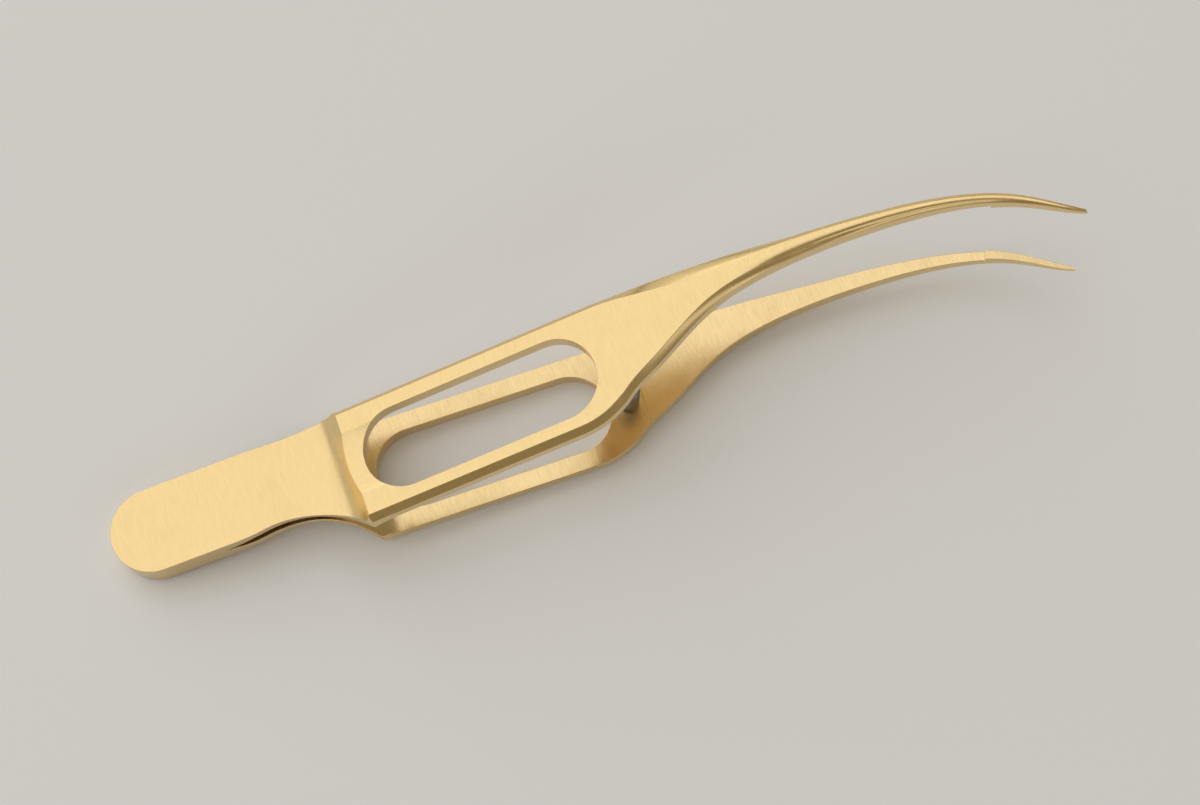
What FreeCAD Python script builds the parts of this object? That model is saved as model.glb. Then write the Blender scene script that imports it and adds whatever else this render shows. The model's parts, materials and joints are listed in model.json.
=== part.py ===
import FreeCAD, Part
import math
import os
import Sketcher

# Curved tying forceps: two mirrored spring arms joined at the tail, with a stop pin between them.
# Each arm is drawn lying open: X runs from the tail to the tip, Z is the opening direction and
# the plane Z = 0 is where the two tail halves meet. Lengths are millimetres, angles degrees.

os.makedirs("parts", exist_ok=True)
doc = FreeCAD.newDocument("forceps")

SIZES = {
    # finger plate, with the origin at the centre of its window
    "window_width": 6.16,
    "window_length": 18.27,
    "near_rail": 1.38,
    "far_rail": 1.35,
    "rear_web": 0.955,
    "front_web": 1.265,
    "plate_thickness": 1.37,
    "plate_outer": 4.525,
    "plate_angle": 7.1,
    "near_bevel": 0.52,
    "far_bevel": 0.34,
    # front of the plate in plan, where its near edge turns towards the shank
    "shoulder_lead": 3.8,
    "shoulder_radius": 7.1,
    "shoulder_angle": 28.4,
    # outer face behind the plate: the rise to its rear crest, and the hollow before the tail
    "rise_length": 4.11,
    "hollow_length": 4.3,
    "hollow_height": 0.92,
    # valley in the plate between the crest and the window
    "valley_width": 4.9,
    "valley_depth": 0.5,
    "valley_shift": 0.2,
    # tail, counted from the crest, with its waist and the flare to the plate
    "tail_length": 18.96,
    "tail_near": 1.72,
    "tail_far": 4.65,
    "tail_height": 1.23,
    "waist_depth": 0.27,
    "waist_lead": 15.0,
    "flare_angle": 45.0,
    "flare_run": 0.65,
    "corner_radius": 0.4,
    "corner_lead": 0.1,
    "taper_length": 2.5,
    # slit between the arms, in front of the weld, and the inner face's rise to the plate
    "weld_length": 7.65,
    "slit_lead": 2.5,
    "slit_height": 0.52,
    "pivot_lead": 3.2,
    "inner_lead": 3.61,
    "inner_radius": 7.4,
    "inner_straight": 1.25,
    "heel_radius": 4.9,
    # inner face of the shank, and the tying platform that stands proud of it at the tip
    "bend_length": 6.3,
    "shank_angle": 2.3,
    "platform_length": 6.1,
    "platform_step": 0.36,
    "facet_share": 0.07,
    # stop pin
    "pin_radius": 0.76,
    "pin_wall": 0.565,
    "pin_aside": 0.49,
    "pin_seat": 0.9,
    "pin_edge": 0.12,
    "stop_clearance": 0.1,
}

# Stations along the shank: how far in front of the plate, near edge, far edge, crown height, and
# the heights of the near and the far wall, the last three counted from the inner face.
SHANK = {
    "heel": (3.0, -1.76, 4.39, 1.37, 0.86, 0.90),
    "slope": (5.4, -0.48, 4.33, 1.39, 0.89, 0.90),
    "knee": (8.2, 0.82, 4.22, 1.44, 0.98, 0.92),
    "bend": (11.6, 1.64, 4.00, 1.50, 1.10, 0.95),
    "neck": (15.6, 1.99, 3.61, 1.53, 1.18, 0.95),
    "middle": (20.6, 1.94, 3.13, 1.45, 1.10, 0.76),
    "quarter": (26.6, 1.29, 2.17, 1.15, 0.86, 0.40),
    "lip": (31.6, -0.33, 0.37, 0.78, 0.53, 0.18),
    "nose": (34.8, -2.20, -1.86, 0.46, 0.28, 0.10),
    "tip": (35.6, -2.56, -2.40, 0.26, 0.16, 0.06),
}
STATION_PARTS = ("forward", "near", "far", "crown", "near_wall", "far_wall")

# Shares of the shank's width and height that make its rounded back, reached at the neck.
NEAR_SHARE = 0.22
FAR_SHARE = 0.42
SAG_SHARE = 0.12

# Free room that the cuts have beyond the metal, the difference below which two places or angles
# are one, and the steepest rise of the inner face, in degrees.
BEYOND = 3.0
SAME = 1e-4
STEEPEST = 60.0

for station, numbers in SHANK.items():
    for part, number in zip(STATION_PARTS, numbers):
        SIZES["%s_%s" % (station, part)] = number

sheet = doc.addObject("Spreadsheet::Sheet", "sizes")
for row, (alias, value) in enumerate(SIZES.items(), start=1):
    sheet.set("A%d" % row, alias)
    sheet.set("B%d" % row, str(value))
    sheet.setAlias("B%d" % row, alias)
doc.recompute()


def size(alias):
    return float(sheet.get(alias))


def sine(angle):
    return math.sin(math.radians(angle))


def cosine(angle):
    return math.cos(math.radians(angle))


def tangent(angle):
    return math.tan(math.radians(angle))


# Places along and across the arm that follow from the sizes.
WINDOW_END = size("window_length") / 2.0
PLATE_NEAR = -(size("window_width") / 2.0 + size("near_rail"))
PLATE_FAR = size("window_width") / 2.0 + size("far_rail")
PLATE_FRONT = WINDOW_END + size("front_web")
CREST = -(WINDOW_END + size("rear_web"))
HOLLOW_FRONT = CREST - size("rise_length")
HOLLOW_BACK = HOLLOW_FRONT - size("hollow_length")
TAIL_END = CREST - size("tail_length")
SLIT_ROOT = TAIL_END + size("weld_length")
PIVOT = SLIT_ROOT + size("pivot_lead")
TIP = PLATE_FRONT + size("tip_forward")
PIN = WINDOW_END + size("pin_wall") + size("pin_edge") + size("pin_radius")


class Outline:
    """A closed chain of lines and tangent arcs; side -1 mirrors it to the lower arm."""

    def __init__(self, x, y, side=1):
        self.side = side
        self.start = FreeCAD.Vector(x, y * side, 0.0)
        self.here = self.start
        self.edges = []

    def line(self, x, y):
        there = FreeCAD.Vector(x, y * self.side, 0.0)
        self.edges.append(Part.LineSegment(self.here, there))
        self.here = there

    def bow(self, middle, end):
        """An arc through a middle point."""
        middle, end = [FreeCAD.Vector(x, y * self.side, 0.0) for x, y in (middle, end)]
        self.edges.append(Part.Arc(self.here, middle, end))
        self.here = end

    def arc(self, heading, radius, turn):
        """Leave along the heading and turn through an angle, to the left if it is positive."""
        hand = math.copysign(1.0, turn)
        x, y = self.here.x, self.here.y * self.side
        ends = []
        for share in (0.5, 1.0):
            across = radius * hand * (sine(heading + turn * share) - sine(heading))
            up = radius * hand * (cosine(heading) - cosine(heading + turn * share))
            ends.append((x + across, y + up))
        self.bow(*ends)

    def close(self):
        self.edges.append(Part.LineSegment(self.here, self.start))

    def draw(self, sketch):
        """Add the chain to a sketch, each end tied to the next start."""
        first = sketch.GeometryCount
        for edge in self.edges:
            sketch.addGeometry(edge, False)
        count = len(self.edges)
        pairs = [(a, b) for a in (1, 2) for b in (1, 2)]
        for index in range(count):
            here = first + index
            after = first + (index + 1) % count
            gaps = [(sketch.getPoint(here, a) - sketch.getPoint(after, b)).Length for a, b in pairs]
            a, b = pairs[gaps.index(min(gaps))]
            sketch.addConstraint(Sketcher.Constraint("Coincident", here, a, after, b))


def sketch_on(body, role, name):
    """A sketch on one of the body's own origin planes."""
    sketch = body.newObject("Sketcher::SketchObject", name)
    plane = [item for item in body.Origin.OriginFeatures if item.Role == role][0]
    sketch.AttachmentSupport = [(plane, "")]
    sketch.MapMode = "FlatFace"
    return sketch


def cut_through(body, sketch, name):
    """Remove a sketch's area right through the body, both ways."""
    pocket = body.newObject("PartDesign::Pocket", name)
    pocket.Profile = sketch
    pocket.Type = "ThroughAll"
    pocket.SideType = "Symmetric"
    return pocket


def plate_height(x):
    """Height of the plate's outer face above the mid plane."""
    return size("plate_outer") + tangent(size("plate_angle")) * x


def inner_height(x):
    """Height of the inner face from the plate to the platform: slanted, bent, less slanted."""
    first = size("plate_angle")
    last = size("shank_angle")
    if x <= PLATE_FRONT:
        return plate_height(x) - size("plate_thickness")
    radius = size("bend_length") / (sine(first) - sine(last))
    across = min(x - PLATE_FRONT, size("bend_length"))
    heading = math.asin(sine(first) - across / radius)
    height = plate_height(PLATE_FRONT) - size("plate_thickness")
    height += radius * (math.cos(heading) - cosine(first))
    return height + tangent(last) * (x - PLATE_FRONT - across)


def closing_angle():
    """How far each arm swings until the platforms meet, which lie on lines through the pivot."""
    start = TIP - size("platform_length")
    return math.degrees(math.atan2(inner_height(start) - size("platform_step"), start - PIVOT))


def platform_height(x):
    return tangent(closing_angle()) * (x - PIVOT)


def add_blank(body, side):
    """Tail, hollow and plate as one bar with the arm's outer side view."""
    outline = Outline(TAIL_END, 0.0, side)
    outline.line(TAIL_END, size("tail_height"))
    outline.line(HOLLOW_BACK, size("tail_height"))
    run = size("hollow_length") / 2.0
    drop = (size("tail_height") - size("hollow_height")) / 2.0
    radius = (run ** 2 + drop ** 2) / (2.0 * drop)
    lead = math.degrees(math.asin(run / radius))
    outline.arc(0.0, radius, -lead)
    outline.arc(-lead, radius, lead)
    run = size("rise_length")
    climb = plate_height(CREST) - size("hollow_height")
    radius = (run ** 2 + climb ** 2) / (2.0 * climb)
    outline.arc(0.0, radius, 2.0 * math.degrees(math.atan2(climb, run)))
    outline.line(PLATE_FRONT, plate_height(PLATE_FRONT))
    outline.line(PLATE_FRONT, 0.0)
    outline.close()
    sketch = sketch_on(body, "XZ_Plane", body.Name + "_side_view")
    outline.draw(sketch)
    blank = body.newObject("PartDesign::Pad", body.Name + "_blank")
    blank.Profile = sketch
    blank.SideType = "Symmetric"
    blank.setExpression("Length", "2 * (sizes.tail_far + sizes.window_width + sizes.near_rail)")


def trim_to_plan(body):
    """Cut the blank to its outline seen from above."""
    far = size("tail_far")
    near = -size("tail_near")
    end_radius = (far - near) / 2.0
    inside = Outline(TAIL_END + end_radius, far)
    inside.arc(180.0, end_radius, 180.0)
    flare = size("flare_angle")
    run = size("flare_run")
    corner = size("corner_radius")
    depth = size("waist_depth")
    across = near + depth - PLATE_NEAR - run * sine(flare)
    waist = across / (1.0 - cosine(flare)) - corner
    lead = size("waist_lead")
    angle = math.degrees(math.acos(1.0 - depth / (lead + waist)))
    start = CREST + size("corner_lead") - (corner + waist) * sine(flare) - run * cosine(flare)
    inside.line(start - (lead + waist) * sine(angle), near)
    inside.arc(0.0, lead, angle)
    inside.arc(angle, waist, -angle - flare)
    inside.line(inside.here.x + run * cosine(flare), inside.here.y - run * sine(flare))
    inside.arc(-flare, corner, flare)
    inside.line(PLATE_FRONT - size("shoulder_lead"), PLATE_NEAR)
    shoulder = size("shoulder_angle")
    inside.arc(0.0, size("shoulder_radius"), shoulder)
    past = PLATE_FRONT + BEYOND
    inside.line(past, inside.here.y + (past - inside.here.x) * tangent(shoulder))
    inside.line(past, PLATE_FAR)
    inside.line(CREST, PLATE_FAR)
    inside.line(CREST - size("taper_length"), far)
    inside.close()
    sketch = sketch_on(body, "XY_Plane", body.Name + "_plan_view")
    inside.draw(sketch)
    wide = far + size("window_width") + size("near_rail") + BEYOND
    frame = Outline(TAIL_END - BEYOND, -wide)
    frame.line(past + BEYOND, -wide)
    frame.line(past + BEYOND, wide)
    frame.line(TAIL_END - BEYOND, wide)
    frame.close()
    frame.draw(sketch)
    cut_through(body, sketch, body.Name + "_trim")


def bevel_plate(body, side, hand, alias, name):
    """Bevel the plate's outer edge on one hand: -1 is the near edge, 1 the far one."""
    doc.recompute()
    base = body.Tip
    edges = []
    for number, edge in enumerate(base.Shape.Edges, start=1):
        first, last = edge.ParameterRange
        spots = [edge.valueAt(first + (last - first) * share) for share in (0.0, 0.5, 1.0)]
        on_plate = all(abs(spot.z * side - plate_height(spot.x)) < SAME for spot in spots)
        along = abs(spots[2].x - spots[0].x) > SAME
        if on_plate and along and spots[1].y * hand > 0:
            edges.append("Edge%d" % number)
    bevel = body.newObject("PartDesign::Chamfer", name)
    bevel.Base = (base, edges)
    bevel.setExpression("Size", "sizes." + alias)


def add_section(body, station, side):
    """One cross section of the shank, flat inside, with walls, a bevel and a rounded back."""
    forward = size(station + "_forward")
    near = size(station + "_near")
    far = size(station + "_far")
    crown = size(station + "_crown")
    near_wall = size(station + "_near_wall")
    far_wall = size(station + "_far_wall")
    roundness = min(forward / size("neck_forward"), 1.0) ** 2
    plain_near = size("near_bevel") / cosine(size("shoulder_angle"))
    plain_far = size("far_bevel") + size("facet_share") * forward
    near_run = plain_near + (NEAR_SHARE * (far - near) - plain_near) * roundness
    far_run = plain_far + (FAR_SHARE * (far - near) - plain_far) * roundness
    sag = SAG_SHARE * crown * roundness
    left, right = near + near_run, far - far_run
    top_radius = ((right - left) ** 2 + sag ** 2) / (2.0 * sag)
    top_middle = crown - top_radius + math.sqrt(top_radius ** 2 - ((right - left) / 2.0) ** 2)
    fall = crown - far_wall
    back_radius = (far_run ** 2 + fall ** 2) / (2.0 * fall)
    back_bow = fall / 2.0 - back_radius + math.sqrt(back_radius ** 2 - (far_run / 2.0) ** 2)
    base = inner_height(PLATE_FRONT + forward)
    outline = Outline(near, 0.0, side)
    outline.line(far, 0.0)
    outline.line(far, base + far_wall)
    outline.bow((right + far_run / 2.0, base + far_wall + fall / 2.0 + back_bow * roundness),
                (right, base + crown))
    outline.bow(((left + right) / 2.0, base + top_middle), (left, base + crown - sag))
    outline.line(near, base + near_wall)
    outline.close()
    sketch = sketch_on(body, "YZ_Plane", "%s_%s" % (body.Name, station))
    sketch.setExpression("AttachmentOffset.Base.z",
                         "sizes.window_length / 2 + sizes.front_web + sizes.%s_forward" % station)
    outline.draw(sketch)
    return sketch


def add_shank(body, side):
    """Loft the curved shank from the plate's front face through its stations to the tip."""
    sections = [add_section(body, station, side) for station in SHANK]
    doc.recompute()
    base = body.Tip
    faces = enumerate(base.Shape.Faces, start=1)
    root = [number for number, face in faces if abs(face.CenterOfMass.x - PLATE_FRONT) < SAME]
    shank = body.newObject("PartDesign::AdditiveLoft", body.Name + "_shank")
    shank.Profile = (base, ["Face%d" % root[0]])
    shank.Sections = [(section, "") for section in sections]


def cut_window(body):
    """The long window in the middle of the finger plate."""
    radius = size("window_width") / 2.0
    reach = size("window_length") / 2.0 - radius
    outline = Outline(-reach, -radius)
    outline.line(reach, -radius)
    outline.arc(0.0, radius, 180.0)
    outline.line(-reach, radius)
    outline.arc(180.0, radius, 180.0)
    sketch = sketch_on(body, "XY_Plane", body.Name + "_window_view")
    outline.draw(sketch)
    cut_through(body, sketch, body.Name + "_window")


def cut_valley(body, side):
    """The shallow round-floored valley from the crest to the window, along the plate's slant."""
    depth = size("valley_depth")
    radius = ((size("valley_width") / 2.0) ** 2 + depth ** 2) / (2.0 * depth)
    sketch = sketch_on(body, "YZ_Plane", body.Name + "_valley_view")
    centre = FreeCAD.Vector(size("valley_shift"), side * (radius - depth), 0.0)
    sketch.addGeometry(Part.Circle(centre, FreeCAD.Vector(0, 0, 1), radius), False)
    turn = FreeCAD.Rotation(FreeCAD.Vector(1, 0, 0), -side * size("plate_angle"))
    start = FreeCAD.Vector(0.0, side * plate_height(HOLLOW_FRONT), HOLLOW_FRONT)
    sketch.AttachmentOffset = FreeCAD.Placement(start, turn)
    valley = body.newObject("PartDesign::Pocket", body.Name + "_valley")
    valley.Profile = sketch
    valley.Reversed = True
    valley.setExpression("Length", "sizes.rise_length + sizes.rear_web + sizes.window_width / 2")


def inner_angle():
    """Slope of the inner rise at which its foot, straight and heel end on the inner face."""
    foot = CREST - size("inner_lead")
    radius = size("inner_radius")
    heel = size("heel_radius")
    slant = size("plate_angle")
    low, high = slant, STEEPEST
    while high - low > SAME:
        angle = (low + high) / 2.0
        x = foot + radius * sine(angle) + size("inner_straight") * cosine(angle)
        x += heel * (sine(angle) - sine(slant))
        y = size("slit_height") + radius * (1.0 - cosine(angle)) + size("inner_straight") * sine(angle)
        y += heel * (cosine(slant) - cosine(angle))
        if y < inner_height(x):
            low = angle
        else:
            high = angle
    return angle


def cut_inner_face(body, side):
    """Slit, gap, bend and platform: everything between the mid plane and the inner face."""
    rise = inner_angle()
    slant = size("plate_angle")
    last = size("shank_angle")
    straight = size("inner_straight")
    outline = Outline(SLIT_ROOT, 0.0, side)
    outline.line(SLIT_ROOT + size("slit_lead"), size("slit_height"))
    outline.line(CREST - size("inner_lead"), size("slit_height"))
    outline.arc(0.0, size("inner_radius"), rise)
    x, y = outline.here.x, outline.here.y * side
    outline.line(x + straight * cosine(rise), y + straight * sine(rise))
    outline.arc(rise, size("heel_radius"), slant - rise)
    outline.line(PLATE_FRONT, inner_height(PLATE_FRONT))
    outline.arc(slant, size("bend_length") / (sine(slant) - sine(last)), last - slant)
    edge = TIP - size("platform_length")
    outline.line(edge, inner_height(edge))
    outline.line(edge, platform_height(edge))
    past = TIP + BEYOND
    outline.line(past, platform_height(past))
    outline.line(past, -BEYOND)
    outline.line(SLIT_ROOT, -BEYOND)
    outline.close()
    sketch = sketch_on(body, "XZ_Plane", body.Name + "_inner_view")
    outline.draw(sketch)
    cut_through(body, sketch, body.Name + "_inner_face")


def pin_place():
    """Foot of the stop pin on the lower arm's inner face, square to that face."""
    foot = FreeCAD.Vector(PIN, -size("pin_aside"), -inner_height(PIN))
    return FreeCAD.Placement(foot, FreeCAD.Rotation(FreeCAD.Vector(0, 1, 0), size("plate_angle")))


def drill_pin_hole(body):
    """Blind hole that the stop pin is pressed into, with a small countersink at its mouth."""
    for name, radius, depth in (("hole", "sizes.pin_radius", "sizes.pin_seat"),
                                ("mouth", "sizes.pin_radius + sizes.pin_edge", "sizes.pin_edge")):
        sketch = sketch_on(body, "XY_Plane", "%s_%s_view" % (body.Name, name))
        sketch.AttachmentOffset = pin_place()
        sketch.addGeometry(Part.Circle(FreeCAD.Vector(0, 0, 0), FreeCAD.Vector(0, 0, 1), 1.0), False)
        sketch.addConstraint(Sketcher.Constraint("Coincident", 0, 3, -1, 1))
        sketch.addConstraint(Sketcher.Constraint("Radius", 0, 1.0))
        sketch.setExpression("Constraints[1]", radius)
        hole = body.newObject("PartDesign::Pocket", "%s_%s" % (body.Name, name))
        hole.Profile = sketch
        hole.setExpression("Length", depth)


def make_arm(label, side):
    """One spring arm, cut from a single bar: side 1 is the upper arm, -1 the lower one."""
    body = doc.addObject("PartDesign::Body", label)
    body.Label = label
    add_blank(body, side)
    trim_to_plan(body)
    bevel_plate(body, side, -1, "near_bevel", label + "_near_bevel")
    bevel_plate(body, side, 1, "far_bevel", label + "_far_bevel")
    add_shank(body, side)
    cut_inner_face(body, side)
    cut_window(body)
    cut_valley(body, side)
    if side < 0:
        drill_pin_hole(body)
    return body


def pin_reach():
    """How far the stop pin stands out of the lower arm, to just clear the closed upper arm."""
    slant = size("plate_angle")
    closed = 2.0 * closing_angle()
    height = inner_height(PIN)
    arm = PIN - PIVOT
    over = arm * cosine(closed) + height * sine(closed) - arm
    above = height * cosine(closed) - arm * sine(closed) + height
    heading = slant - closed
    free = (above * cosine(heading) - over * sine(heading)) / cosine(slant + heading)
    return free - size("stop_clearance")


def make_pin(label):
    """Round stop pin that keeps the arms from being squeezed past closed."""
    body = doc.addObject("PartDesign::Body", label)
    body.Label = label
    sketch = sketch_on(body, "XY_Plane", label + "_end_view")
    sketch.setExpression("AttachmentOffset.Base.z", "-sizes.pin_seat")
    sketch.addGeometry(Part.Circle(FreeCAD.Vector(0, 0, 0), FreeCAD.Vector(0, 0, 1), 1.0), False)
    sketch.addConstraint(Sketcher.Constraint("Coincident", 0, 3, -1, 1))
    sketch.addConstraint(Sketcher.Constraint("Radius", 0, 1.0))
    sketch.setExpression("Constraints[1]", "sizes.pin_radius")
    rod = body.newObject("PartDesign::Pad", label + "_rod")
    rod.Profile = sketch
    rod.Length = size("pin_seat") + pin_reach()
    doc.recompute()
    top = max(range(len(rod.Shape.Edges)), key=lambda index: rod.Shape.Edges[index].CenterOfMass.z)
    bevel = body.newObject("PartDesign::Chamfer", label + "_end")
    bevel.Base = (rod, ["Edge%d" % (top + 1)])
    bevel.setExpression("Size", "sizes.pin_edge")
    return body


def lying_angle():
    """Tilt at which the lower arm rests on the end of its tail and the front of its plate."""
    spots = [(PLATE_FRONT, plate_height(PLATE_FRONT))]
    for station in SHANK:
        x = PLATE_FRONT + size(station + "_forward")
        spots.append((x, inner_height(x) + size(station + "_crown")))
    return max(math.degrees(math.atan2(z - size("tail_height"), x - TAIL_END)) for x, z in spots)


def put(upper, lower, pin, place):
    """Place both arms, and the pin on its seat in the lower one."""
    upper.Placement = place
    lower.Placement = place
    pin.Placement = place.multiply(pin_place())
    doc.recompute()


def lay_down(upper, lower, pin):
    """Turn the open forceps as they lie, with the origin under the middle of their outline."""
    turn = FreeCAD.Rotation(FreeCAD.Vector(0, 1, 0), -lying_angle())
    put(upper, lower, pin, FreeCAD.Placement(FreeCAD.Vector(0, 0, 0), turn))
    box = FreeCAD.BoundBox()
    for body in (upper, lower, pin):
        box.add(body.Shape.optimalBoundingBox(False, False))
    place = FreeCAD.Placement(FreeCAD.Vector(-box.Center.x, -box.Center.y, -box.ZMin), turn)
    put(upper, lower, pin, place)
    return place


upper_arm = make_arm("upper_arm", 1)
lower_arm = make_arm("lower_arm", -1)
stop_pin = make_pin("stop_pin")
place = lay_down(upper_arm, lower_arm, stop_pin)

for item in doc.Objects:
    if "Invalid" in item.State or "Error" in item.State:
        raise RuntimeError("failed: %s %s" % (item.Name, item.State))
for body in (upper_arm, lower_arm, stop_pin):
    shape = body.Shape
    if shape.isNull() or not shape.isValid() or len(shape.Solids) != 1:
        raise RuntimeError("bad solid: " + body.Label)
    shape.exportStep("parts/%s.step" % body.Label)
    print(body.Label, "volume %.2f mm3" % shape.Volume, shape.BoundBox)

pivot = place.multVec(FreeCAD.Vector(PIVOT, 0.0, 0.0))
print("tilt %.3f" % lying_angle(), "pivot", pivot, "closed %.3f" % (2.0 * closing_angle()))
print("pin stands out %.2f" % pin_reach())
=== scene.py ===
import json
import math

import bmesh
import bpy
from mathutils import Matrix, Vector

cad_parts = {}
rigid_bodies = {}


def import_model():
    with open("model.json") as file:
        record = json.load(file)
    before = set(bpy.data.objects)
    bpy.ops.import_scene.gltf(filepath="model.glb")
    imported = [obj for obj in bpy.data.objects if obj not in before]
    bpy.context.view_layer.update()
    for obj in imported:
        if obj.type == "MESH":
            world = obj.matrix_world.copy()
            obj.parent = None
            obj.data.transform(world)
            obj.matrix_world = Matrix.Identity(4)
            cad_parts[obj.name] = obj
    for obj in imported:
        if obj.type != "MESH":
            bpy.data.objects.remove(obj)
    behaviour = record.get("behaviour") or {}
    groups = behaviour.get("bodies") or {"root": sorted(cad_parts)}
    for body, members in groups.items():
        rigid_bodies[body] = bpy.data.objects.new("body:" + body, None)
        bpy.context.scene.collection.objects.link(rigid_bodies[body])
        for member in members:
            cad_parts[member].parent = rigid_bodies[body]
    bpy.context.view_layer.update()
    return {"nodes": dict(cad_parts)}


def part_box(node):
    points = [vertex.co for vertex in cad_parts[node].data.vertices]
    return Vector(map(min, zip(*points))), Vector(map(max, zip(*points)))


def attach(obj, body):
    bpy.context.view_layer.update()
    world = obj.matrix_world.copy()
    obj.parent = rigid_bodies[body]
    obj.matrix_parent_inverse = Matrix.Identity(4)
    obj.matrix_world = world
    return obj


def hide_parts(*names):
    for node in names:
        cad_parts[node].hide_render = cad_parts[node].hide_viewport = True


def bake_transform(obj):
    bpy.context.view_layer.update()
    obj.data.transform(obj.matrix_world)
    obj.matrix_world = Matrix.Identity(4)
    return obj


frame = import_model()

# Camera. It looks down on the forceps from the tail's near side, so that both arms show.
camera_data = bpy.data.cameras.new("camera")
camera = bpy.data.objects.new("camera", camera_data)
bpy.context.collection.objects.link(camera)
camera.location = (-0.02183, -0.05930, 0.18895)
camera.rotation_euler = (math.radians(18.6715), math.radians(-0.249), math.radians(-19.6093))
camera_data.sensor_width = 36.0
camera_data.lens = 78.27
camera_data.clip_start = 0.001
bpy.context.scene.camera = camera

# Table. A plain pale top that the forceps lies on, much larger than the picture.
bpy.ops.mesh.primitive_plane_add(size=3.0, location=(0.0, 0.0, 0.0))
table = bpy.context.object
table.name = "table"
table_finish = bpy.data.materials.new("pale_table")
table_finish.use_nodes = True
table_shader = table_finish.node_tree.nodes["Principled BSDF"]
table_shader.inputs["Base Color"].default_value = (0.87, 0.89, 0.94, 1.0)
table_shader.inputs["Roughness"].default_value = 0.75
table_shader.inputs["Specular IOR Level"].default_value = 0.2
table.data.materials.append(table_finish)

# Light. A large soft panel above, behind and to the left, a low card behind for the far edges,
# a smaller one in front for the near ones, and a dim, warm room all around.
bpy.context.scene.view_settings.view_transform = "Standard"
for name, place, wide, high, watts in (("soft_panel", (-0.55, 0.44, 0.85), 2.3, 2.3, 14.2),
                                       ("low_card", (0.15, 1.05, 0.32), 1.2, 0.45, 0.75),
                                       ("near_card", (0.30, -0.95, 0.80), 1.4, 0.35, 0.90)):
    lamp_data = bpy.data.lights.new(name, "AREA")
    lamp_data.shape = "RECTANGLE"
    lamp_data.size = wide
    lamp_data.size_y = high
    lamp_data.energy = watts
    lamp = bpy.data.objects.new(name, lamp_data)
    bpy.context.collection.objects.link(lamp)
    lamp.location = place
    lamp.rotation_euler = lamp.location.to_track_quat("Z", "Y").to_euler()
    lamp.visible_camera = False
room = bpy.data.worlds.new("room")
room.use_nodes = True
room.node_tree.nodes["Background"].inputs["Color"].default_value = (1.0, 0.84, 0.56, 1.0)
room.node_tree.nodes["Background"].inputs["Strength"].default_value = 0.27
bpy.context.scene.world = room

# Upper arm. Half of the welded tail, a thin neck that bends, the slotted finger plate and the
# curved shank, cut from one bar of spring metal, brushed across its length and coloured gold.
LYING = math.radians(6.637)
MIDDLE = Vector((-0.00871727, -0.000095, 0.00457933))
AS_LAID = Matrix.Translation(MIDDLE) @ Matrix.Rotation(-LYING, 4, "Y")


def laid(x, y, z):
    """A place on the open forceps, in millimetres from the middle of its windows, as it lies."""
    return AS_LAID @ Vector((x / 1000.0, y / 1000.0, z / 1000.0))


def arm_mesh(node, name):
    """A welded copy of an arm's solid, with its flat faces whole.

    At the crest's two corners, points lie too close together for an edge to be rounded between
    them, so those are joined within a wider reach.
    """
    bpy.ops.object.select_all(action="DESELECT")
    source = frame["nodes"][node]
    source.select_set(True)
    bpy.context.view_layer.objects.active = source
    bpy.ops.object.duplicate()
    arm = bpy.context.object
    arm.name = name
    arm.data.name = name
    bpy.ops.object.parent_clear(type="CLEAR_KEEP_TRANSFORM")
    arm.data.materials.clear()
    bpy.ops.object.mode_set(mode="EDIT")
    bpy.ops.mesh.select_all(action="SELECT")
    bpy.ops.mesh.customdata_custom_splitnormals_clear()
    bpy.ops.mesh.remove_doubles(threshold=5e-6)
    bpy.ops.mesh.select_all(action="DESELECT")
    mesh = bmesh.from_edit_mesh(arm.data)
    to_open = AS_LAID.inverted()
    for point in mesh.verts:
        spot = to_open @ point.co * 1000.0
        at_crest = abs(spot.x + 10.15) < 0.3
        point.select_set(at_crest and abs(spot.y) > 3.6 and abs(spot.z) > 2.5)
    bmesh.update_edit_mesh(arm.data)
    bpy.ops.mesh.remove_doubles(threshold=9e-5)
    bpy.ops.mesh.select_all(action="SELECT")
    bpy.ops.mesh.dissolve_degenerate(threshold=2e-5)
    bpy.ops.mesh.dissolve_limited(angle_limit=math.radians(0.4))
    bpy.ops.object.mode_set(mode="OBJECT")
    return arm


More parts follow.
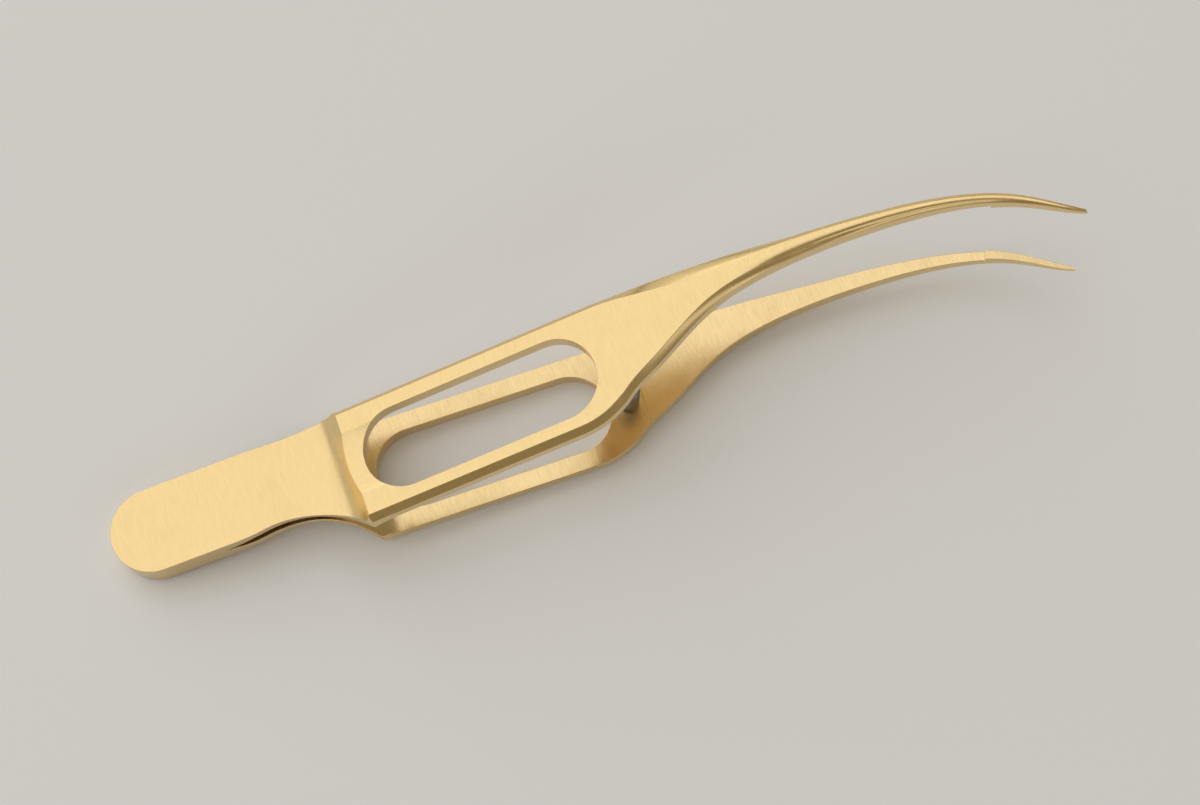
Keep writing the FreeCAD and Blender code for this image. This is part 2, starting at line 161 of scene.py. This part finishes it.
# The shank in millimetres, from the plate's front to the tip: how far forward, near edge, top of
# the near wall, near shoulder (across and up), far shoulder (across and up), far edge, top of the
# far wall, and how far the crown and the far back bulge.
SHANK = (
    (0.00, -3.376, 5.297, -2.785, 5.820, 4.090, 5.820, 4.430, 5.478, 0.000, 0.000),
    (0.50, -3.013, 5.359, -2.434, 5.868, 4.081, 5.872, 4.423, 5.483, 0.001, 0.005),
    (1.25, -2.577, 5.446, -1.997, 5.947, 4.018, 5.953, 4.414, 5.520, 0.001, 0.007),
    (2.00, -2.216, 5.526, -1.622, 6.027, 3.918, 6.034, 4.405, 5.577, 0.001, 0.006),
    (3.00, -1.760, 5.623, -1.140, 6.127, 3.765, 6.133, 4.390, 5.663, 0.002, 0.005),
    (5.40, -0.480, 5.817, 0.167, 6.297, 3.456, 6.317, 4.330, 5.827, 0.005, 0.015),
    (8.20, 0.820, 6.025, 1.454, 6.437, 3.164, 6.485, 4.220, 5.965, 0.012, 0.037),
    (11.60, 1.640, 6.281, 2.191, 6.582, 2.937, 6.681, 4.000, 6.131, 0.025, 0.080),
    (15.60, 1.990, 6.522, 2.346, 6.688, 2.930, 6.872, 3.610, 6.292, 0.047, 0.165),
    (20.60, 1.940, 6.643, 2.202, 6.819, 2.630, 6.993, 3.130, 6.303, 0.045, 0.217),
    (23.60, 1.722, 6.665, 1.949, 6.837, 2.304, 6.993, 2.739, 6.245, 0.041, 0.247),
    (26.60, 1.290, 6.644, 1.484, 6.796, 1.800, 6.934, 2.170, 6.184, 0.036, 0.260),
    (29.10, 0.677, 6.583, 0.852, 6.728, 1.144, 6.844, 1.477, 6.156, 0.030, 0.240),
    (31.60, -0.330, 6.515, -0.176, 6.671, 0.076, 6.765, 0.370, 6.165, 0.024, 0.208),
    (33.20, -1.260, 6.479, -1.132, 6.645, -0.927, 6.725, -0.681, 6.194, 0.021, 0.187),
    (34.80, -2.230, 6.393, -2.145, 6.518, -1.975, 6.573, -1.820, 6.213, 0.014, 0.132),
    (35.60, -2.610, 6.305, -2.565, 6.374, -2.430, 6.405, -2.345, 6.205, 0.008, 0.075),
)
FORWARD = [row[0] for row in SHANK]
SHAPES = [Vector(row[1:]) for row in SHANK]
PLATE_FRONT = 10.4

# Counted forward from the plate's front: where the sections start, where the tying platform
# starts at its near edge, and how much further forward its step is at the far edge.
SHANK_START = 1.3
PLATFORM_START = 29.5
PLATFORM_SLANT = 0.28

# A section's points run from the inner face's near corner, by the far side, to the top of the
# near wall. These are its crisp corners.
INNER_NEAR, INNER_FAR, WALL_FAR, SHOULDER_FAR, SHOULDER_NEAR, WALL_NEAR = 0, 1, 2, 10, 18, 22
SECTION_CORNERS = (INNER_NEAR, INNER_FAR, WALL_FAR, SHOULDER_FAR, SHOULDER_NEAR, WALL_NEAR)
SECTION_POINTS = 23

# Place of the far edge among the numbers that shank_shape gives.
FAR_EDGE = 6


def fairing(values):
    """How strongly a thin batten bends where it runs through the shank's values."""
    bends = [values[0] * 0.0 for value in values]
    for sweep in range(60):
        for here in range(1, len(values) - 1):
            before = FORWARD[here] - FORWARD[here - 1]
            after = FORWARD[here + 1] - FORWARD[here]
            pull = ((values[here + 1] - values[here]) / after
                    - (values[here] - values[here - 1]) / before)
            bends[here] = (6.0 * pull - before * bends[here - 1] - after * bends[here + 1])
            bends[here] /= 2.0 * (before + after)
    return bends


BENDS = fairing(SHAPES)


def shank_shape(forward):
    """The shank's section numbers at any place, faired between those of the table."""
    here = max([place for place in range(len(FORWARD) - 1) if FORWARD[place] <= forward] or [0])
    gap = FORWARD[here + 1] - FORWARD[here]
    share = (forward - FORWARD[here]) / gap
    rest = 1.0 - share
    swell = (rest ** 3 - rest) * BENDS[here] + (share ** 3 - share) * BENDS[here + 1]
    return rest * SHAPES[here] + share * SHAPES[here + 1] + swell * (gap * gap / 6.0)


def inner_face(forward):
    """Height of the shank's inner face, which bends a little towards the mid plane."""
    start, end = math.radians(7.1), math.radians(2.3)
    bend_length = 6.3
    plate_height = 4.4504
    radius = bend_length / (math.sin(start) - math.sin(end))
    heading = math.asin(math.sin(start) - min(forward, bend_length) / radius)
    height = plate_height + radius * (math.cos(heading) - math.cos(start))
    return height + math.tan(end) * max(forward - bend_length, 0.0)


def platform(forward):
    """Height of the tying platform's flat, which meets the other arm's when squeezed shut."""
    half_closing = math.radians(5.447)
    from_hinge = forward + 28.6
    return math.tan(half_closing) * from_hinge


def bulged(start, end, bow, pieces):
    """Points after the start, along an arc that stands out to the right of its chord."""
    along = end - start
    half = along.length / 2.0
    bow = max(bow, 1e-5)
    radius = (half * half + bow * bow) / (2.0 * bow)
    reach = 2.0 * math.atan2(bow, half)
    along.normalize()
    out = Vector((along.y, -along.x))
    points = []
    for piece in range(1, pieces + 1):
        turn = reach * (2.0 * piece / pieces - 1.0)
        rise = radius * (math.cos(turn) - 1.0) + bow
        points.append((start + end) / 2.0 + along * (radius * math.sin(turn)) + out * rise)
    return points


def shank_ring(mesh, side, forward, height):
    """One cross section: inner face, far wall, far back, crown, near bevel and near wall."""
    (near, near_wall, near_across, near_up, far_across, far_up,
     far, far_wall, crown_bow, back_bow) = shank_shape(forward)
    far_top = Vector((far, far_wall))
    far_shoulder = Vector((far_across, far_up))
    near_shoulder = Vector((near_across, near_up))
    near_top = Vector((near, near_wall))
    fullness = min(max((forward - SHANK_START) / 6.0, 0.0), 1.0)
    bevel_bow = 0.04 * fullness * (near_top - near_shoulder).length
    ring = [Vector((near, height)), Vector((far, height)), far_top]
    ring += bulged(far_top, far_shoulder, back_bow, SHOULDER_FAR - WALL_FAR)
    ring += bulged(far_shoulder, near_shoulder, crown_bow, SHOULDER_NEAR - SHOULDER_FAR)
    ring += bulged(near_shoulder, near_top, bevel_bow, WALL_NEAR - SHOULDER_NEAR)
    return [mesh.verts.new(laid(PLATE_FRONT + forward, spot.x, side * spot.y)) for spot in ring]


def stitch(mesh, one, other):
    """Fill the strip between two runs of points that start and end side by side."""
    here = there = 0
    while here < len(one) - 1 or there < len(other) - 1:
        if there == len(other) - 1:
            first = True
        elif here == len(one) - 1:
            first = False
        else:
            first = ((one[here + 1].co - other[there].co).length
                     < (one[here].co - other[there + 1].co).length)
        if first:
            mesh.faces.new((one[here], one[here + 1], other[there]))
            here += 1
        else:
            mesh.faces.new((one[here], other[there + 1], other[there]))
            there += 1


def rim_of(mesh, corners):
    """The open rim's points, in runs between the given corners."""
    step = {}
    for edge in mesh.edges:
        if edge.is_boundary:
            for one, other in (edge.verts, reversed(edge.verts)):
                step.setdefault(one, []).append(other)
    ends = [min(step, key=lambda point: (point.co - corner).length) for corner in corners]
    rim = [ends[0], step[ends[0]][0]]
    while rim[-1] is not ends[0]:
        one, other = step[rim[-1]]
        rim.append(other if one is rim[-2] else one)
    if rim.index(ends[1]) > rim.index(ends[2]):
        rim.reverse()
    marks = [rim.index(end) for end in ends] + [len(rim) - 1]
    return [rim[first:last + 1] for first, last in zip(marks, marks[1:])]


def draw_shank(arm, side):
    """Put a shank of even sections on the plate, and mark the arm's crisp edges."""
    forward_axis = Vector((math.cos(LYING), 0.0, math.sin(LYING)))
    bpy.ops.object.select_all(action="DESELECT")
    arm.select_set(True)
    bpy.context.view_layer.objects.active = arm
    bpy.ops.object.mode_set(mode="EDIT")
    bpy.ops.mesh.select_all(action="SELECT")
    bpy.ops.mesh.bisect(plane_co=laid(PLATE_FRONT + SHANK_START, 0.0, 0.0), plane_no=forward_axis,
                        clear_outer=True)
    bpy.ops.mesh.select_all(action="DESELECT")
    mesh = bmesh.from_edit_mesh(arm.data)
    length = PLATFORM_START - SHANK_START
    places = [SHANK_START + length * step / 70.0 for step in range(71)]
    start, *rings = [shank_ring(mesh, side, place, inner_face(place)) for place in places]

    # The plate's open rim is drawn onto the first section's corners, and sewn to the second.
    corners = [start[turn].co.copy() for turn in SECTION_CORNERS]
    for point in start:
        mesh.verts.remove(point)
    rim = rim_of(mesh, corners)
    for run, corner, following in zip(rim, corners, corners[1:] + corners[:1]):
        for point in run:
            share = (point.co - corner).length / (following - corner).length
            point.co = corner.lerp(following, min(share, 1.0))
    for run, turn, after in zip(rim, SECTION_CORNERS, SECTION_CORNERS[1:] + (SECTION_POINTS,)):
        stitch(mesh, run, (rings[0] + rings[0][:1])[turn:after + 1])
    for ring, following in zip(rings, rings[1:]):
        for turn in range(SECTION_POINTS):
            after = (turn + 1) % SECTION_POINTS
            mesh.faces.new((ring[turn], ring[after], following[after], following[turn]))

    # The tying platform stands proud of the inner face. Its step is square to the curved shank.
    length = FORWARD[-1] - PLATFORM_START
    places = [PLATFORM_START + length * step / 13.0 for step in range(14)]
    toes = [shank_ring(mesh, side, place, platform(place)) for place in places]
    edge = rings[-1]
    for point in toes[0][2:]:
        mesh.verts.remove(point)
    toes[0] = toes[0][:2] + edge[2:]
    corner = PLATFORM_START + PLATFORM_SLANT
    for point, height in ((edge[1], inner_face(corner)), (toes[0][1], platform(corner))):
        point.co = laid(PLATE_FRONT + corner, shank_shape(corner)[FAR_EDGE], side * height)
    mesh.faces.new((edge[INNER_NEAR], edge[INNER_FAR], toes[0][INNER_FAR], toes[0][INNER_NEAR]))
    for ring, following in zip(toes, toes[1:]):
        for turn in range(SECTION_POINTS):
            after = (turn + 1) % SECTION_POINTS
            corners = [ring[turn], ring[after], following[after], following[turn]]
            if ring is toes[0] and turn == INNER_FAR:
                corners.insert(1, edge[INNER_FAR])
            if ring is toes[0] and turn == WALL_NEAR:
                corners.insert(1, edge[INNER_NEAR])
            mesh.faces.new(corners)
    mesh.faces.new(toes[-1])

    # Edges are crisp where faces meet sharply, but not within the rounded back, crown and bevel.
    rounded = {ring[turn] for ring in rings + toes for turn in range(WALL_FAR + 1, WALL_NEAR)
               if turn not in SECTION_CORNERS}
    mesh.normal_update()
    for line in mesh.edges:
        angle = math.degrees(line.calc_face_angle(0.0))
        soft = all(point in rounded for point in line.verts)
        line.smooth = angle < 60.0 if soft else angle < 16.0
    bmesh.update_edit_mesh(arm.data)
    bpy.ops.mesh.select_all(action="SELECT")
    bpy.ops.mesh.normals_make_consistent(inside=False)
    bpy.ops.object.mode_set(mode="OBJECT")


def break_edges(arm, side):
    """Round the crisp edges a little, and the inner face's near edge more.

    The weld's line stays sharp, and so do the shortest edges at the crest's corners. Towards the
    tip the rounding gets finer.
    """
    widest = 0.00008
    edge_share = 0.42
    rim_share = 0.7
    to_open = AS_LAID.inverted()
    turned = to_open.to_3x3()
    bpy.ops.object.select_all(action="DESELECT")
    arm.select_set(True)
    bpy.context.view_layer.objects.active = arm
    bpy.ops.object.mode_set(mode="EDIT")
    mesh = bmesh.from_edit_mesh(arm.data)
    share = mesh.edges.layers.float.new("bevel_weight_edge")
    for edge in mesh.edges:
        ends = [to_open @ corner.co for corner in edge.verts]
        on_weld = all(abs(end.z) < 2e-5 for end in ends)
        on_horn = all(abs(end.x + 0.0103) < 4e-4 and abs(end.y) > 0.0036 for end in ends)
        tiny = on_horn and edge.calc_length() < (6.5e-4 if ends[0].y > 0.0 else 2.5e-4)
        if not edge.smooth and not on_weld and not tiny:
            from_tip = PLATE_FRONT + FORWARD[-1] - 1000.0 * max(end.x for end in ends)
            fineness = min(0.2 + from_tip / 8.0, 1.0)
            facings = [turned @ face.normal for face in edge.link_faces]
            outer_side = all(end.x > 0.0119 or end.y < -0.0015 for end in ends)
            inner_rim = (outer_side and min(facing.z * side for facing in facings) < -0.8
                         and min(facing.y for facing in facings) < -0.8)
            edge[share] = (rim_share if inner_rim else edge_share) * fineness
    bmesh.update_edit_mesh(arm.data)
    bpy.ops.object.mode_set(mode="OBJECT")
    rounding = arm.modifiers.new("broken_edges", "BEVEL")
    rounding.limit_method = "WEIGHT"
    rounding.width = widest
    rounding.segments = 3
    rounding.use_clamp_overlap = False
    bpy.ops.object.modifier_apply(modifier=rounding.name)
    bpy.ops.object.mode_set(mode="EDIT")
    bpy.ops.mesh.select_all(action="SELECT")
    bpy.ops.mesh.remove_doubles(threshold=2e-6)
    bpy.ops.object.mode_set(mode="OBJECT")
    bpy.ops.object.shade_smooth_by_angle(angle=math.radians(40.0))
    flat = arm.modifiers.new("flat_faces", "WEIGHTED_NORMAL")
    flat.keep_sharp = True
    flat.weight = 50
    bpy.ops.object.modifier_apply(modifier=flat.name)


# The neck's outer face in millimetres, along the arm: where its hollow starts, where its curve
# turns over, where it is deepest and where the plate's rear crest is, with the radii of its arcs.
HOLLOW_START = -18.5
HOLLOW_TURN = -16.35
HOLLOW_DEEPEST = -14.2
CREST = -10.09
HOLLOW_RADIUS = 14.988
RISE_RADIUS = 4.771
STEEPEST = math.radians(49.0)


def neck_slope(x):
    """Slope of the neck's outer face: down into its hollow, then up to the crest, in radians."""
    if x < HOLLOW_TURN:
        return -math.asin((x - HOLLOW_START) / HOLLOW_RADIUS)
    if x < HOLLOW_DEEPEST:
        return math.asin((x - HOLLOW_DEEPEST) / HOLLOW_RADIUS)
    return math.asin((x - HOLLOW_DEEPEST) / RISE_RADIUS)


def true_shading(arm, side):
    """Shade flat faces flat, and the neck's outer face as the curve that it is."""
    mesh = arm.data
    to_open = AS_LAID.inverted()
    shading = [corner.vector.copy() for corner in mesh.corner_normals]
    for face in mesh.polygons:
        limit = math.radians(10.0 if face.area > 3e-7 else 20.0)
        for corner in face.loop_indices:
            if face.normal.length > 0.5 and face.normal.dot(shading[corner]) < math.cos(limit):
                shading[corner] = face.normal.copy()
        if not HOLLOW_START < (to_open @ face.center).x * 1000.0 < -10.1:
            continue
        for corner in face.loop_indices:
            point = to_open @ mesh.vertices[mesh.loops[corner].vertex_index].co
            along = min(max(point.x * 1000.0, HOLLOW_START), CREST)
            slope = min(neck_slope(along), STEEPEST)
            true = AS_LAID.to_3x3() @ Vector((-math.sin(slope), 0.0, side * math.cos(slope)))
            if face.normal.dot(true) > math.cos(math.radians(9.0)):
                shading[corner] = true
    mesh.normals_split_custom_set(shading)


def gold(name, light, dark, smoothest, roughest, grain, relief_depth):
    """Brushed gold-coloured metal: scratches whose size the grain gives in millimetres along,
    across and up, in two tones, and a faint unevenness in how rough it is."""
    finish = bpy.data.materials.new(name)
    finish.use_nodes = True
    nodes = finish.node_tree.nodes
    links = finish.node_tree.links
    shader = nodes["Principled BSDF"]
    shader.inputs["Metallic"].default_value = 1.0
    place = nodes.new("ShaderNodeTexCoord")
    stroke = nodes.new("ShaderNodeMapping")
    stroke.inputs["Scale"].default_value = [1000.0 / size for size in grain]
    links.new(place.outputs["Object"], stroke.inputs["Vector"])
    scratches = nodes.new("ShaderNodeTexNoise")
    scratches.inputs["Scale"].default_value = 1.0
    scratches.inputs["Detail"].default_value = 3.0
    links.new(stroke.outputs["Vector"], scratches.inputs["Vector"])
    cloud = nodes.new("ShaderNodeTexNoise")
    cloud.inputs["Scale"].default_value = 420.0
    cloud.inputs["Detail"].default_value = 4.0
    links.new(place.outputs["Object"], cloud.inputs["Vector"])
    tone = nodes.new("ShaderNodeValToRGB")
    tone.color_ramp.elements[0].position = 0.36
    tone.color_ramp.elements[0].color = (*dark, 1.0)
    tone.color_ramp.elements[1].position = 0.64
    tone.color_ramp.elements[1].color = (*light, 1.0)
    links.new(scratches.outputs["Fac"], tone.inputs["Fac"])
    links.new(tone.outputs["Color"], shader.inputs["Base Color"])
    dull = nodes.new("ShaderNodeMapRange")
    dull.inputs["From Min"].default_value = 0.3
    dull.inputs["From Max"].default_value = 0.7
    dull.inputs["To Min"].default_value = smoothest
    dull.inputs["To Max"].default_value = roughest
    links.new(cloud.outputs["Fac"], dull.inputs["Value"])
    links.new(dull.outputs["Result"], shader.inputs["Roughness"])
    relief = nodes.new("ShaderNodeBump")
    relief.inputs["Strength"].default_value = relief_depth
    relief.inputs["Distance"].default_value = 0.00002
    links.new(scratches.outputs["Fac"], relief.inputs["Height"])
    links.new(relief.outputs["Normal"], shader.inputs["Normal"])
    return finish


outer_gold = gold("satin_gold", light=(0.85, 0.655, 0.335), dark=(0.805, 0.615, 0.31),
                  smoothest=0.19, roughest=0.28, grain=(0.085, 1.2, 0.085), relief_depth=0.12)
side_gold = gold("side_gold", light=(0.845, 0.65, 0.33), dark=(0.815, 0.62, 0.31),
                 smoothest=0.18, roughest=0.26, grain=(1.6, 0.09, 0.09), relief_depth=0.05)
inner_gold = gold("brushed_gold", light=(0.87, 0.675, 0.37), dark=(0.79, 0.61, 0.325),
                  smoothest=0.18, roughest=0.28, grain=(0.09, 1.1, 0.09), relief_depth=0.22)


def finish_arm(arm, side):
    """Brushed across the outer face, along the sides, and more coarsely across the inner face."""
    outer, inner, along_side = range(3)
    for finish in (outer_gold, inner_gold, side_gold):
        arm.data.materials.append(finish)
    for face in arm.data.polygons:
        facing = AS_LAID.to_3x3().inverted() @ face.normal
        if abs(facing.y) > 0.4:
            face.material_index = along_side
        elif facing.z * side < -0.8:
            face.material_index = inner
        else:
            face.material_index = outer


upper_arm = arm_mesh("upper_arm", "upper_spring_arm")

# The neck is cut across every 0.65 mm, from the slit's root forward.
bpy.ops.object.mode_set(mode="EDIT")
for step in range(15):
    bpy.ops.mesh.select_all(action="SELECT")
    bpy.ops.mesh.bisect(plane_co=laid(-21.4 + 0.65 * step, 0.0, 0.0),
                        plane_no=(math.cos(LYING), 0.0, math.sin(LYING)))
bpy.ops.object.mode_set(mode="OBJECT")
draw_shank(upper_arm, 1.0)
break_edges(upper_arm, 1.0)
true_shading(upper_arm, 1.0)
finish_arm(upper_arm, 1.0)
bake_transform(upper_arm)
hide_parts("upper_arm")

# Lower arm. The mirror image of the upper one, from the same bar and with the same finish. A
# blind hole with a small counterbore in its inner face takes the stop pin.
lower_arm = arm_mesh("lower_arm", "lower_spring_arm")
draw_shank(lower_arm, -1.0)
break_edges(lower_arm, -1.0)
true_shading(lower_arm, -1.0)
finish_arm(lower_arm, -1.0)
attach(lower_arm, "lower")
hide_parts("lower_arm")

# Stop pin. A short turned pin of dark steel with broken edges, pressed into the blind hole in the
# lower arm, in front of its window. It stands square to the arm's inner face, and it keeps the
# arms from being squeezed too far.
pin_low, pin_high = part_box("stop_pin")
PIN_RADIUS = 0.00076
PIN_EDGE = 0.00012
PIN_LEAN = math.radians(7.1) - LYING
bpy.ops.mesh.primitive_cylinder_add(vertices=64, radius=PIN_RADIUS, depth=pin_high.z - pin_low.z,
                                    location=(pin_low + pin_high) / 2.0,
                                    rotation=(0.0, PIN_LEAN, 0.0))
stop_pin = bpy.context.object
stop_pin.name = "round_stop_pin"
bpy.ops.object.transform_apply(location=True, rotation=True, scale=True)
bpy.ops.object.mode_set(mode="EDIT")
bpy.ops.mesh.select_mode(type="EDGE")
mesh = bmesh.from_edit_mesh(stop_pin.data)
for edge in mesh.edges:
    edge.select_set(edge.calc_face_angle() > math.radians(45.0))
bmesh.update_edit_mesh(stop_pin.data)
bpy.ops.mesh.bevel(offset=PIN_EDGE, segments=3, profile=0.5)
bpy.ops.object.mode_set(mode="OBJECT")
bpy.ops.object.shade_smooth_by_angle(angle=math.radians(35.0))
pin_finish = bpy.data.materials.new("dark_turned_steel")
pin_finish.use_nodes = True
nodes = pin_finish.node_tree.nodes
links = pin_finish.node_tree.links
shader = nodes["Principled BSDF"]
shader.inputs["Metallic"].default_value = 1.0
shader.inputs["Base Color"].default_value = (0.30, 0.29, 0.28, 1.0)
shader.inputs["Roughness"].default_value = 0.3
place = nodes.new("ShaderNodeTexCoord")
rings = nodes.new("ShaderNodeMapping")
rings.inputs["Scale"].default_value = (600.0, 600.0, 12000.0)
links.new(place.outputs["Object"], rings.inputs["Vector"])
turning = nodes.new("ShaderNodeTexNoise")
turning.inputs["Scale"].default_value = 1.0
links.new(rings.outputs["Vector"], turning.inputs["Vector"])
relief = nodes.new("ShaderNodeBump")
relief.inputs["Strength"].default_value = 0.15
relief.inputs["Distance"].default_value = 0.00002
links.new(turning.outputs["Fac"], relief.inputs["Height"])
links.new(relief.outputs["Normal"], shader.inputs["Normal"])
stop_pin.data.materials.append(pin_finish)
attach(stop_pin, "lower")
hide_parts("stop_pin")
